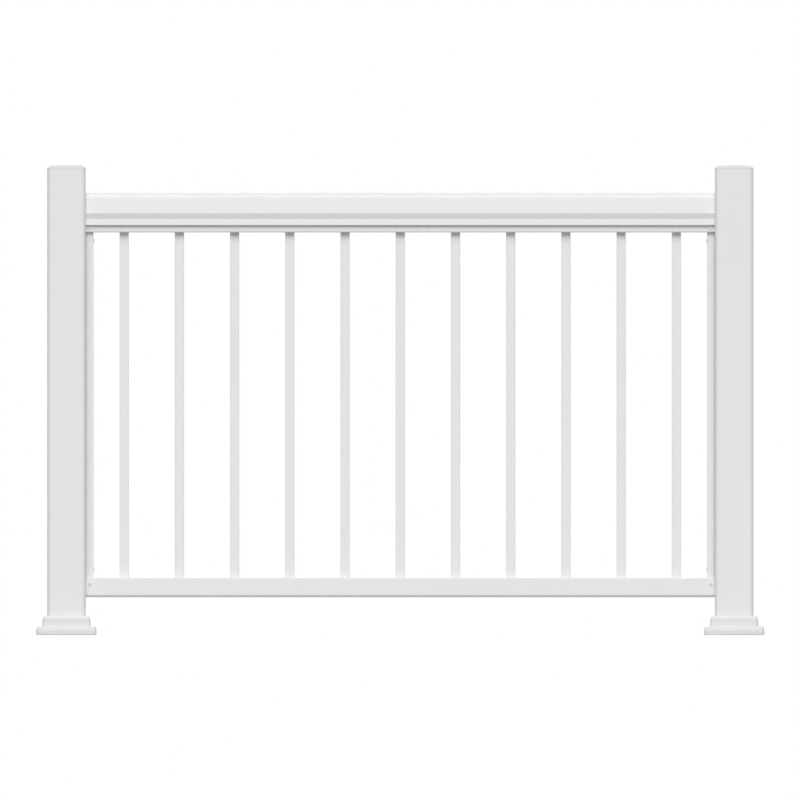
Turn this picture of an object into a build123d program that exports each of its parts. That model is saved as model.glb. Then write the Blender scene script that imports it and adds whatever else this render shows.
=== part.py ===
from build123d import *

import math
import os

# Deck railing section in powder-coated aluminium: two square posts bolted down through
# base plates, with a moulded handrail, a bottom rail and square balusters between them.
# The origin is the centre of the left post's base plate, on its underside.
# X runs along the railing to the right post, Y from front to back, Z up from the deck.

# Layout
post_spacing = 1382.0  # between post centres
rail_height = 914.4  # deck to the top of the handrail
bottom_gap = 77.8  # deck to the underside of the bottom rail
baluster_pitch = 114.3  # between baluster centres

# Posts and their flush caps
post_width = 80.0
post_wall = 3.0
post_corner = 10.5
post_rise = 49.3  # post tube above the handrail
cap_band = 3.0  # straight edge of the cap
cap_bevel_height = 4.8
cap_bevel_width = 7.6
cap_plug_depth = 14.0
cap_wall = 2.5

# Base plates, bolted to the deck
plate_margin = 16.0  # plate beyond each post face
plate_thickness = 8.0
plate_corner = 6.0
bolt_hole_diameter = 10.5
bolt_hole_inset = 11.0  # hole centre to plate edge

# Base covers: a square foot over the plate and a collar around the post
cover_wall = 3.0
cover_plate_clearance = 3.5
bolt_head_room = 6.3
foot_corner = 7.0
foot_toe = 1.2  # bevel at the deck
foot_lean_height = 8.5
foot_lean = 14.5  # degrees
foot_top_radius = 3.0
collar_height = 21.1
collar_stand_off = 10.3  # post face to the collar's outside, at its foot
collar_corner = 7.0
collar_draft = 4.0  # degrees
collar_bevel_height = 4.5
collar_bevel_width = 2.4

# Handrail extrusion: crowned top, leaning face, bead, cove and lip, from the top down
handrail_width = 60.0  # across the beads
crown_rise = 1.2
shoulder_radius = 12.5
face_lean = 7.0  # degrees
bead_drop = 42.0
bead_radius = 1.5
cove_height = 11.6
cove_depth = 3.4
cove_radius = 2.0
lip_height = 13.0
lip_flare = 0.8
lip_radius = 0.5
web_lift = 16.0  # underside of the inner web above the lip
rail_wall = 2.0

# Baluster channel, snapped into the underside of the handrail
channel_width = 43.2
channel_drop = 15.0  # part that shows below the handrail
channel_radius = 2.5
barb_reach = 1.2
barb_height = 4.0

# Bottom rail extrusion
bottom_rail_width = 48.0
bottom_rail_height = 39.7
bottom_rail_top_radius = 1.0
bottom_rail_lower_radius = 6.0

# Balusters, and the end stiles that are screwed to the posts
baluster_width = 19.05
baluster_wall = 1.5
baluster_corner = 1.9
stile_width = 16.0
stile_depth = 28.0
baluster_engagement = 10.0  # length inside the baluster channel

# Fits
slip_clearance = 0.25  # around what slides into a hole, a slot or a tube
smallest_radius = 0.5  # a corner that would be tighter than this is left square

# Places worked out from the sizes above
post_half = post_width / 2
post_top = rail_height + post_rise
clear_span = post_spacing - post_width
rail_end = post_spacing - post_half
plate_width = post_width + 2 * plate_margin
bolt_spacing = plate_width - 2 * bolt_hole_inset
foot_width = plate_width + 2 * (cover_plate_clearance + cover_wall)
foot_height = plate_thickness + bolt_head_room + cover_wall
collar_width = post_width + 2 * collar_stand_off
bead_z = rail_height - bead_drop
cove_z = bead_z - cove_height
lip_z = cove_z - lip_height
web_z = lip_z + web_lift
channel_z = lip_z - channel_drop
bottom_rail_top = bottom_gap + bottom_rail_height
baluster_foot = bottom_gap + rail_wall
baluster_top = channel_z + rail_wall + baluster_engagement
baluster_count = int(clear_span // baluster_pitch)
first_baluster = (post_spacing - (baluster_count - 1) * baluster_pitch) / 2
baluster_places = [first_baluster + i * baluster_pitch for i in range(baluster_count)]
stile_places = [post_half + stile_width / 2, rail_end - stile_width / 2]


def bevel_angle(inset, height):
    return math.degrees(math.atan2(inset, height))


def round_corners(outline, corners, radius):
    if radius < smallest_radius:
        return outline
    picked = [outline.vertices().sort_by_distance(Vector(*corner))[0] for corner in corners]
    return fillet(picked, radius)


def rounded_box(width, depth, corner):
    outline = Rectangle(width, depth)
    return fillet(outline.vertices(), corner) if corner >= smallest_radius else outline


def tube(width, depth, wall, corner, length):
    inside = rounded_box(width - 2 * wall, depth - 2 * wall, corner - wall)
    return extrude(rounded_box(width, depth, corner) - inside, length)


def rail(profile):
    # Runs a Y-Z profile from the left post's face to the right post's face
    return extrude(Plane.YZ.offset(post_half) * profile, clear_span)


def post():
    length = post_top - plate_thickness
    return Pos(0, 0, plate_thickness) * tube(post_width, post_width, post_wall, post_corner, length)


def post_cap():
    # A lid with a bevelled edge, and a plug that slides into the post; hollow from below
    band = extrude(rounded_box(post_width, post_width, post_corner), cap_band)
    angle = bevel_angle(cap_bevel_width, cap_bevel_height)
    bevel = extrude(band.faces().sort_by(Axis.Z)[-1], cap_bevel_height, taper=angle)
    plug_inset = post_wall + slip_clearance
    plug_width = post_width - 2 * plug_inset
    plug_corner = post_corner - plug_inset
    plug = extrude(rounded_box(plug_width, plug_width, plug_corner), -cap_plug_depth)
    room_width = plug_width - 2 * cap_wall
    room_height = cap_plug_depth + cap_band + cap_bevel_height - cap_wall
    room = extrude(rounded_box(room_width, room_width, plug_corner - cap_wall), room_height)
    return Pos(0, 0, post_top) * (band + bevel + plug - Pos(0, 0, -cap_plug_depth) * room)


def base_plate():
    outline = rounded_box(plate_width, plate_width, plate_corner)
    holes = GridLocations(bolt_spacing, bolt_spacing, 2, 2) * Circle(bolt_hole_diameter / 2)
    return extrude(outline - holes, plate_thickness)


def cover_foot():
    # Bevelled at the deck, upright, then leaning in to a rounded top edge
    upright_height = foot_height - foot_lean_height - foot_toe
    outline = rounded_box(foot_width, foot_width, foot_corner)
    wall = Pos(0, 0, foot_toe) * extrude(outline, upright_height)
    toe = extrude(wall.faces().sort_by(Axis.Z)[0], foot_toe, taper=bevel_angle(foot_toe, foot_toe))
    lean = extrude(wall.faces().sort_by(Axis.Z)[-1], foot_lean_height, taper=foot_lean)
    lean = fillet(lean.faces().sort_by(Axis.Z)[-1].edges(), foot_top_radius)
    return wall + toe + lean


def cover_collar():
    # A drafted wall with a bevelled rim
    wall_height = collar_height - collar_bevel_height
    outline = rounded_box(collar_width, collar_width, collar_corner)
    wall = Pos(0, 0, foot_height) * extrude(outline, wall_height, taper=collar_draft)
    angle = bevel_angle(collar_bevel_width, collar_bevel_height)
    return wall + extrude(wall.faces().sort_by(Axis.Z)[-1], collar_bevel_height, taper=angle)


def base_cover():
    # Moulded shell: foot and collar, hollowed out over the plate, with a close hole for the post
    foot_room_width = foot_width - 2 * cover_wall
    foot_room = rounded_box(foot_room_width, foot_room_width, foot_corner - cover_wall)
    draft_inset = collar_height * math.tan(math.radians(collar_draft))
    collar_room_width = collar_width - 2 * (cover_wall + draft_inset)
    collar_room = rounded_box(collar_room_width, collar_room_width, collar_corner - cover_wall)
    hole_width = post_width + 2 * slip_clearance
    post_hole = rounded_box(hole_width, hole_width, post_corner + slip_clearance)
    shell = cover_foot() + cover_collar()
    shell -= extrude(foot_room, foot_height - cover_wall)
    shell -= extrude(collar_room, foot_height + collar_height - cover_wall)
    return shell - extrude(post_hole, foot_height + collar_height)


def handrail_outline(inset):
    bead_half = handrail_width / 2 - inset
    shoulder_half = bead_half - bead_drop * math.tan(math.radians(face_lean))
    cove_half = bead_half - cove_depth
    lip_half = cove_half + lip_flare
    top = rail_height - inset
    shoulder = (shoulder_half, top - crown_rise)
    bead = (bead_half, bead_z)
    cove = (cove_half, cove_z)
    lip = (lip_half, lip_z + inset)
    right = [shoulder, bead, cove, lip]
    left = [(-y, z) for y, z in reversed(right)]
    crown = ThreePointArc(left[-1], (0, top), shoulder)
    outline = make_face([crown, *Polyline(*right, *left).edges()])
    radii = [shoulder_radius - inset, bead_radius, cove_radius, lip_radius]
    for (y, z), radius in zip(right, radii):
        outline = round_corners(outline, [(y, z), (-y, z)], radius)
    return outline


def handrail():
    web = Pos(0, web_z + rail_wall / 2) * Rectangle(handrail_width, rail_wall)
    slot_width = channel_width + 2 * slip_clearance
    slot = Pos(0, lip_z + rail_wall / 2) * Rectangle(slot_width, 2 * rail_wall)
    voids = handrail_outline(rail_wall) - web
    return rail(handrail_outline(0) - voids - slot)


def baluster_channel():
    half = channel_width / 2
    depth = web_z - channel_z
    outline = Pos(0, channel_z + depth / 2) * Rectangle(channel_width, depth)
    outline = round_corners(outline, [(half, channel_z), (-half, channel_z)], channel_radius)
    room_depth = depth - rail_wall
    room = Pos(0, web_z - room_depth / 2) * Rectangle(channel_width - 2 * rail_wall, room_depth)
    barb_z = lip_z + rail_wall + slip_clearance
    foot = (half - rail_wall, barb_z)
    tip = (half + barb_reach, barb_z)
    root = (half - rail_wall, barb_z + barb_height)
    barb = make_face(Polyline(foot, tip, root, close=True))
    profile = outline - room + barb + mirror(barb, Plane.YZ)
    return punched(rail(profile), channel_z + rail_wall / 2)


def bottom_rail_outline(inset):
    half = bottom_rail_width / 2 - inset
    low, high = bottom_gap + inset, bottom_rail_top - inset
    outline = Pos(0, (low + high) / 2) * Rectangle(2 * half, high - low)
    outline = round_corners(outline, [(half, low), (-half, low)], bottom_rail_lower_radius - inset)
    return round_corners(outline, [(half, high), (-half, high)], bottom_rail_top_radius - inset)


def bottom_rail():
    profile = bottom_rail_outline(0) - bottom_rail_outline(rail_wall)
    return punched(rail(profile), bottom_rail_top - rail_wall / 2)


def punched(rail_solid, wall_z):
    # Punches the baluster holes, and the end notches for the stiles, through one wall
    hole_width = baluster_width + 2 * slip_clearance
    notch_length = 2 * (stile_width + slip_clearance)
    notch_width = stile_depth + 2 * slip_clearance
    hole = extrude(Rectangle(hole_width, hole_width), rail_wall, both=True)
    notch = extrude(Rectangle(notch_length, notch_width), rail_wall, both=True)
    cuts = [Pos(x, 0, wall_z) * hole for x in baluster_places]
    cuts += [Pos(x, 0, wall_z) * notch for x in (post_half, rail_end)]
    return rail_solid - cuts


def upright(x, width, depth):
    # A baluster or an end stile, from the bottom rail's floor up into the channel
    length = baluster_top - baluster_foot
    return Pos(x, 0, baluster_foot) * tube(width, depth, baluster_wall, baluster_corner, length)


def railing_section():
    pieces = {
        "handrail": handrail(),
        "baluster_channel": baluster_channel(),
        "bottom_rail": bottom_rail(),
    }
    for side, x in (("left", 0), ("right", post_spacing)):
        pieces[f"{side}_post"] = Pos(x, 0, 0) * post()
        pieces[f"{side}_post_cap"] = Pos(x, 0, 0) * post_cap()
        pieces[f"{side}_base_plate"] = Pos(x, 0, 0) * base_plate()
        pieces[f"{side}_base_cover"] = Pos(x, 0, 0) * base_cover()
    for side, x in zip(("left", "right"), stile_places):
        pieces[f"{side}_end_stile"] = upright(x, stile_width, stile_depth)
    for number, x in enumerate(baluster_places, start=1):
        pieces[f"baluster_{number:02d}"] = upright(x, baluster_width, baluster_width)
    return pieces


os.makedirs("parts", exist_ok=True)
for name, piece in railing_section().items():
    export_step(piece, f"parts/{name}.step")
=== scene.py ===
import bpy
import math
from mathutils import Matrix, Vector


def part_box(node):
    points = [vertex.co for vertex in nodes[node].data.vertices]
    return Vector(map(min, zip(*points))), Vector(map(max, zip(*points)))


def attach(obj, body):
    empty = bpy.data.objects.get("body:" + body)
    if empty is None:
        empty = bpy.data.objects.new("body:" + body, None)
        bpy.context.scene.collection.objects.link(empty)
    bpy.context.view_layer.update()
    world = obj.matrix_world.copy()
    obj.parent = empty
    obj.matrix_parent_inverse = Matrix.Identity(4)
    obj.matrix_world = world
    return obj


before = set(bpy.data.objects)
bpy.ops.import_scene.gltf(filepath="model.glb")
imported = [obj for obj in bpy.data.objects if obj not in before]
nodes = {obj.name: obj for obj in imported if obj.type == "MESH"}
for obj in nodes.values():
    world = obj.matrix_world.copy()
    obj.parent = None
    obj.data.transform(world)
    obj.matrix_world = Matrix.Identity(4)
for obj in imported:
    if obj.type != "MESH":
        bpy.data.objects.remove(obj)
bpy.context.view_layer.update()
scene = bpy.context.scene
mm = 0.001
print("frame loaded:", len(nodes), "CAD nodes")


def linearColour(hexCode):
    # sRGB hex to the linear values that Blender's sockets hold
    channels = [int(hexCode[i:i + 2], 16) / 255 for i in (1, 3, 5)]
    linear = [c / 12.92 if c <= 0.04045 else ((c + 0.055) / 1.055) ** 2.4 for c in channels]
    return (*linear, 1.0)


def addNode(tree, kind, settings=None, links=None):
    # settings: node properties, or socket values where the key is a socket's name or number
    # links: this node's input (name or number) to an output socket of another node
    # A Mix node set to RGBA has its share at 0, its two colours at 6 and 7, and its result at output 2
    node = tree.nodes.new(kind)
    for key, value in (settings or {}).items():
        if isinstance(key, str) and hasattr(node, key):
            setattr(node, key, value)
        else:
            node.inputs[key].default_value = value
    for key, source in (links or {}).items():
        tree.links.new(source, node.inputs[key])
    return node


def newMaterial(name):
    material = bpy.data.materials.new(name)
    material.use_nodes = True
    material.node_tree.nodes.clear()
    return material, material.node_tree


noiseSpan = (0.3, 0.7)            # nearly all of a noise texture's values lie between these


def finishSurface(tree, settings, patches, relief):
    # Colour and gloss drift with the patches, and a fine relief softens the highlights
    tint = addNode(tree, "ShaderNodeMix",
                   {"data_type": "RGBA", 6: linearColour(settings["patchColour"]),
                    7: linearColour(settings["colour"])},
                   {0: patches})
    gloss = addNode(tree, "ShaderNodeMapRange",
                    {"From Min": noiseSpan[0], "From Max": noiseSpan[1],
                     "To Min": settings["roughness"][0], "To Max": settings["roughness"][1]},
                    {"Value": patches})
    bump = addNode(tree, "ShaderNodeBump",
                   {"Strength": 1.0, "Distance": settings["reliefDepthMm"] * mm},
                   {"Height": relief})
    shader = addNode(tree, "ShaderNodeBsdfPrincipled",
                     {"IOR": settings["ior"], "Specular IOR Level": settings["specular"]},
                     {"Base Color": tint.outputs[2], "Roughness": gloss.outputs["Result"],
                      "Normal": bump.outputs["Normal"]})
    addNode(tree, "ShaderNodeOutputMaterial", None, {"Surface": shader.outputs["BSDF"]})


# Polyester powder coat on aluminium extrusions: baked on, so the gloss is even and satin, with a
# fine orange peel that only shows as a slight softness in the highlights.
powderCoat = {
    "colour": "#E3E3E4",
    "patchColour": "#DFDFE1",     # where the film is a little thinner
    "patchMm": 180,
    "roughness": (0.55, 0.65),
    "specular": 0.3,
    "ior": 1.5,
    "reliefMm": 2.5,              # orange peel: really about 1 mm, drawn coarser so that it shows
    "reliefDepthMm": 0.012,
}


def makePowderCoat(settings, name):
    material, tree = newMaterial(name)
    place = addNode(tree, "ShaderNodeTexCoord").outputs["Object"]
    film = addNode(tree, "ShaderNodeTexNoise",
                   {"Scale": 1 / (settings["patchMm"] * mm), "Detail": 3.0, "Roughness": 0.55},
                   {"Vector": place})
    peel = addNode(tree, "ShaderNodeTexNoise",
                   {"Scale": 1 / (settings["reliefMm"] * mm), "Detail": 1.0, "Roughness": 0.4},
                   {"Vector": place})
    finishSurface(tree, settings, film.outputs["Fac"], peel.outputs["Fac"])
    return material


# ASA base covers and post caps: injection moulded, with the fine even grain of a spark-eroded mould.
# Their colour is a touch greyer than the coated metal: painted shade, which makes the sloped tops
# of the caps and covers read darker, as if less light fell on them.
coverPlasticPaintedShade = {
    # painted shade: set greyer than the coat so that the cap and cover slopes come out darker
    "colour": "#D9D9DA",
    "patchColour": "#D5D5D6",     # streaks left by the flow of the melt
    "patchMm": 60,
    "roughness": (0.55, 0.65),
    "specular": 0.3,
    "ior": 1.52,
    "reliefMm": 1.6,              # mould grain: really about 0.1 mm, drawn coarser so that it shows
    "reliefDepthMm": 0.010,
}


def makeCoverPlastic(settings, name):
    material, tree = newMaterial(name)
    place = addNode(tree, "ShaderNodeTexCoord").outputs["Object"]
    flow = addNode(tree, "ShaderNodeTexNoise",
                   {"Scale": 1 / (settings["patchMm"] * mm), "Detail": 2.0, "Distortion": 0.6},
                   {"Vector": place})
    grain = addNode(tree, "ShaderNodeTexVoronoi",
                    {"feature": "SMOOTH_F1", "Scale": 1 / (settings["reliefMm"] * mm)},
                    {"Vector": place})
    finishSurface(tree, settings, flow.outputs["Fac"], grain.outputs["Distance"])
    return material


coatMaterial = makePowderCoat(powderCoat, "polyesterPowderCoatOnAluminium")
coverMaterial = makeCoverPlastic(coverPlasticPaintedShade, "mouldedAsaCovers")
for name, node in nodes.items():
    material = coverMaterial if name.endswith(("base_cover", "post_cap")) else coatMaterial
    for slot in node.material_slots:
        slot.material = material
print("finishes on the CAD nodes: powder coat and moulded covers")


# Pan-head screws: through the rails into the end stiles, and through the stiles into the posts
screws = {
    "headRadiusMm": 4.1,
    "headHeightMm": 1.6,
    "crownHeightMm": 2.6,         # half-height of the ball that the head is cut from
    "ballSegments": 32,
    "ballRings": 24,
    "cutterSize": 4.0,            # of the blocks that cut the ball, in head radii
    "creaseDegrees": 30,          # edges sharper than this stay crisp
    "recessLengthMm": 4.2,
    "recessWidthMm": 1.1,
    "recessFloorMm": 0.4,         # floor of the driver's recess, up from the face that the head is on
    "seatMm": -0.1,               # head sunk below that face, so that no light shows under it
    "belowRailTopMm": 12.4,       # on the bottom rail, down from its top face
    "channelShareUp": 0.62,       # on the channel's visible face, from its lower edge
    "clearOfLipMm": 5,            # how far below the handrail's lip that face is measured
    "stileFromRailsMm": 17.5,     # on the stiles, in from the channel and from the bottom rail
}


def screwTree(settings):
    tree = bpy.data.node_groups.new("panHeadScrews", "GeometryNodeTree")
    tree.interface.new_socket("Places", in_out="INPUT", socket_type="NodeSocketGeometry")
    sizes = {"Head Radius": settings["headRadiusMm"], "Head Height": settings["headHeightMm"],
             "Crown Height": settings["crownHeightMm"], "Recess Length": settings["recessLengthMm"],
             "Recess Width": settings["recessWidthMm"], "Recess Floor": settings["recessFloorMm"],
             "Seat": settings["seatMm"]}
    sockets = {label: tree.interface.new_socket(label, in_out="INPUT", socket_type="NodeSocketFloat")
               for label in sizes}
    finish = tree.interface.new_socket("Finish", in_out="INPUT", socket_type="NodeSocketMaterial")
    tree.interface.new_socket("Screws", in_out="OUTPUT", socket_type="NodeSocketGeometry")
    inputs = addNode(tree, "NodeGroupInput").outputs

    # Head: a flattened ball, cut level at its seat and its top, with a crossed recess
    ball = addNode(tree, "GeometryNodeMeshUVSphere",
                   {"Segments": settings["ballSegments"], "Rings": settings["ballRings"], "Radius": 1.0})
    ballSize = addNode(tree, "ShaderNodeCombineXYZ", None,
                       {0: inputs["Head Radius"], 1: inputs["Head Radius"], 2: inputs["Crown Height"]})
    crown = addNode(tree, "GeometryNodeTransform", None,
                    {"Geometry": ball.outputs["Mesh"], "Scale": ballSize.outputs[0]})
    wide = addNode(tree, "ShaderNodeMath", {"operation": "MULTIPLY", 1: settings["cutterSize"]},
                   {0: inputs["Head Radius"]}).outputs[0]
    head = addNode(tree, "GeometryNodeMeshBoolean", {"operation": "DIFFERENCE", "solver": "EXACT"},
                   {"Mesh 1": crown.outputs["Geometry"]})
    below, above = -0.5, 0.5      # a block's middle is half its height from the level where it cuts
    cutters = [(wide, wide, below, inputs["Seat"]), (wide, wide, above, inputs["Head Height"]),
               (inputs["Recess Length"], inputs["Recess Width"], above, inputs["Recess Floor"]),
               (inputs["Recess Width"], inputs["Recess Length"], above, inputs["Recess Floor"])]
    for sizeX, sizeY, side, level in cutters:
        size = addNode(tree, "ShaderNodeCombineXYZ", None, {0: sizeX, 1: sizeY, 2: wide})
        middle = addNode(tree, "ShaderNodeMath", {"operation": "MULTIPLY_ADD", 1: side},
                         {0: wide, 2: level})
        place = addNode(tree, "ShaderNodeCombineXYZ", None, {2: middle.outputs[0]})
        block = addNode(tree, "GeometryNodeMeshCube", None, {"Size": size.outputs[0]})
        placed = addNode(tree, "GeometryNodeTransform", None,
                         {"Geometry": block.outputs["Mesh"], "Translation": place.outputs[0]})
        tree.links.new(placed.outputs["Geometry"], head.inputs["Mesh 2"])
    rounded = addNode(tree, "GeometryNodeSetShadeSmooth", {"domain": "FACE", "Shade Smooth": True},
                      {"Geometry": head.outputs["Mesh"]})
    steep = addNode(tree, "ShaderNodeMath",
                    {"operation": "GREATER_THAN", 1: math.radians(settings["creaseDegrees"])},
                    {0: addNode(tree, "GeometryNodeInputMeshEdgeAngle").outputs["Unsigned Angle"]})
    crisp = addNode(tree, "GeometryNodeSetShadeSmooth", {"domain": "EDGE", "Shade Smooth": False},
                    {"Geometry": rounded.outputs["Geometry"], "Selection": steep.outputs[0]})

    # One head at each place, turned to face the way its point faces
    facing = addNode(tree, "GeometryNodeInputNamedAttribute",
                     {"data_type": "FLOAT_VECTOR", "Name": "facing"})
    turn = addNode(tree, "FunctionNodeAlignRotationToVector", {"axis": "Z"},
                   {"Vector": facing.outputs["Attribute"]})
    points = addNode(tree, "GeometryNodeMeshToPoints", None, {"Mesh": inputs["Places"]})
    heads = addNode(tree, "GeometryNodeInstanceOnPoints", None,
                    {"Points": points.outputs["Points"], "Instance": crisp.outputs["Geometry"],
                     "Rotation": turn.outputs["Rotation"]})
    real = addNode(tree, "GeometryNodeRealizeInstances", None, {"Geometry": heads.outputs["Instances"]})
    painted = addNode(tree, "GeometryNodeSetMaterial", None,
                      {"Geometry": real.outputs["Geometry"], "Material": inputs["Finish"]})
    addNode(tree, "NodeGroupOutput", None, {0: painted.outputs["Geometry"]})
    values = {sockets[label].identifier: size * mm for label, size in sizes.items()}
    return tree, values, finish.identifier


def screwPlaces(settings):
    # (place, way it faces) of every head, read from the rails, stiles and channel
    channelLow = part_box("baluster_channel")[0]
    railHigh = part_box("bottom_rail")[1]
    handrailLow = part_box("handrail")[0]
    channelPoints = [v.co for v in nodes["baluster_channel"].data.vertices]
    clearOfLip = handrailLow.z - settings["clearOfLipMm"] * mm
    visibleDepth = max(point.y for point in channelPoints if point.z < clearOfLip)
    channelZ = channelLow.z + settings["channelShareUp"] * (handrailLow.z - channelLow.z)
    railZ = railHigh.z - settings["belowRailTopMm"] * mm
    inset = settings["stileFromRailsMm"] * mm
    places = []
    for side, inward in (("left", 1), ("right", -1)):
        low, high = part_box(side + "_end_stile")
        middleX = (low.x + high.x) / 2
        innerX = high.x if inward > 0 else low.x
        for outward in (-1, 1):
            places.append((Vector((middleX, outward * visibleDepth, channelZ)), Vector((0, outward, 0))))
            places.append((Vector((middleX, outward * railHigh.y, railZ)), Vector((0, outward, 0))))
        for z in (channelLow.z - inset, railHigh.z + inset):
            places.append((Vector((innerX, 0, z)), Vector((inward, 0, 0))))
    return places


def makeScrews(settings, material):
    places = screwPlaces(settings)
    holder = bpy.data.meshes.new("screwPlaces")
    holder.from_pydata([place for place, facing in places], [], [])
    attribute = holder.attributes.new("facing", "FLOAT_VECTOR", "POINT")
    attribute.data.foreach_set("vector", [c for place, facing in places for c in facing])
    piece = bpy.data.objects.new("railScrews", holder)
    scene.collection.objects.link(piece)
    tree, values, finishSocket = screwTree(settings)
    modifier = piece.modifiers.new("panHeadScrews", "NODES")
    modifier.node_group = tree
    for identifier, value in values.items():
        modifier[identifier] = value
    modifier[finishSocket] = material
    bpy.context.view_layer.update()
    made = piece.evaluated_get(bpy.context.evaluated_depsgraph_get())
    mesh = bpy.data.meshes.new_from_object(made)
    piece.modifiers.clear()
    piece.data = mesh
    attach(piece, "root")
    return piece, len(places)


screwPiece, screwCount = makeScrews(screws, coatMaterial)
print("screws:", screwCount, "heads,", len(screwPiece.data.polygons), "faces")


def seenByEye(tree):
    # 1 where the camera looks straight, in a reflection or through glass, else 0
    path = addNode(tree, "ShaderNodeLightPath").outputs
    mirrored = addNode(tree, "ShaderNodeMath", {"operation": "MAXIMUM"},
                       {0: path["Is Camera Ray"], 1: path["Is Glossy Ray"]})
    return addNode(tree, "ShaderNodeMath", {"operation": "MAXIMUM"},
                   {0: mirrored.outputs[0], 1: path["Is Transmission Ray"]}).outputs[0]


# Plain pale floor, which keeps the object's shadow; it throws some light back up
floorStyle = {"sizeM": 40, "seenColour": "#E4E4E6", "bounceColour": "#BCBCBE"}


def makeFloor(settings):
    half = settings["sizeM"] / 2
    corners = [(-half, -half, 0), (half, -half, 0), (half, half, 0), (-half, half, 0)]
    mesh = bpy.data.meshes.new("floor")
    mesh.from_pydata(corners, [], [(0, 1, 2, 3)])
    floor = bpy.data.objects.new("floor", mesh)
    scene.collection.objects.link(floor)
    material, tree = newMaterial("paleFloor")
    colour = addNode(tree, "ShaderNodeMix",
                     {"data_type": "RGBA", 6: linearColour(settings["bounceColour"]),
                      7: linearColour(settings["seenColour"])},
                     {0: seenByEye(tree)})
    shader = addNode(tree, "ShaderNodeBsdfDiffuse", None, {"Color": colour.outputs[2]})
    addNode(tree, "ShaderNodeOutputMaterial", None, {"Surface": shader.outputs["BSDF"]})
    mesh.materials.append(material)


# White surroundings for the camera and in reflections, with only a weak sky light on the surfaces
surroundings = {"colour": "#FFFFFF", "seenStrength": 1.0, "skyStrength": 0.05}


def makeSurroundings(settings):
    world = bpy.data.worlds.new("whiteStudio")
    scene.world = world
    world.use_nodes = True
    tree = world.node_tree
    tree.nodes.clear()
    strength = addNode(tree, "ShaderNodeMapRange",
                       {"To Min": settings["skyStrength"], "To Max": settings["seenStrength"]},
                       {"Value": seenByEye(tree)})
    back = addNode(tree, "ShaderNodeBackground", {"Color": linearColour(settings["colour"])},
                   {"Strength": strength.outputs["Result"]})
    addNode(tree, "ShaderNodeOutputWorld", None, {"Surface": back.outputs["Background"]})


# Soft lamps, angles in degrees: azimuth 0 is the front and turns towards the right post, and softness
# is how wide the lamp looks. A strength of 1, square on, renders a colour as written.
lamps = {
    "frontLeft": {"azimuth": -14, "elevation": 45, "strength": 0.575, "softness": 48},
    "frontRight": {"azimuth": 14, "elevation": 45, "strength": 0.495, "softness": 48},
    "backLeft": {"azimuth": -150, "elevation": 9, "strength": 0.44, "softness": 50},
    "backRight": {"azimuth": 150, "elevation": 9, "strength": 0.44, "softness": 50},
}


def makeLamps(settings):
    for name, lamp in settings.items():
        light = bpy.data.lights.new(name, "SUN")
        light.energy = math.pi * lamp["strength"]
        light.angle = math.radians(lamp["softness"])
        piece = bpy.data.objects.new(name, light)
        scene.collection.objects.link(piece)
        azimuth, elevation = math.radians(lamp["azimuth"]), math.radians(lamp["elevation"])
        towards = Vector((math.sin(azimuth) * math.cos(elevation), -math.cos(azimuth) * math.cos(elevation),
                          math.sin(elevation)))
        piece.rotation_euler = towards.to_track_quat("Z", "Y").to_euler()


# Straight-on view with no perspective, as in the photograph
viewpoint = {"widthM": 1.65584, "centreX": 0.69036, "centreZ": 0.48593, "distanceM": 4.0, "reachM": 100}


def makeCamera(settings):
    camera = bpy.data.cameras.new("frontView")
    camera.type = "ORTHO"
    camera.ortho_scale = settings["widthM"]
    camera.clip_end = settings["reachM"]
    piece = bpy.data.objects.new("frontView", camera)
    scene.collection.objects.link(piece)
    piece.location = (settings["centreX"], -settings["distanceM"], settings["centreZ"])
    piece.rotation_euler = (math.radians(90), 0, 0)     # level, looking from the front to the back
    scene.camera = piece


makeFloor(floorStyle)
makeSurroundings(surroundings)
makeLamps(lamps)
makeCamera(viewpoint)
scene.view_settings.view_transform = "Standard"
print("floor, surroundings, lamps and camera set")
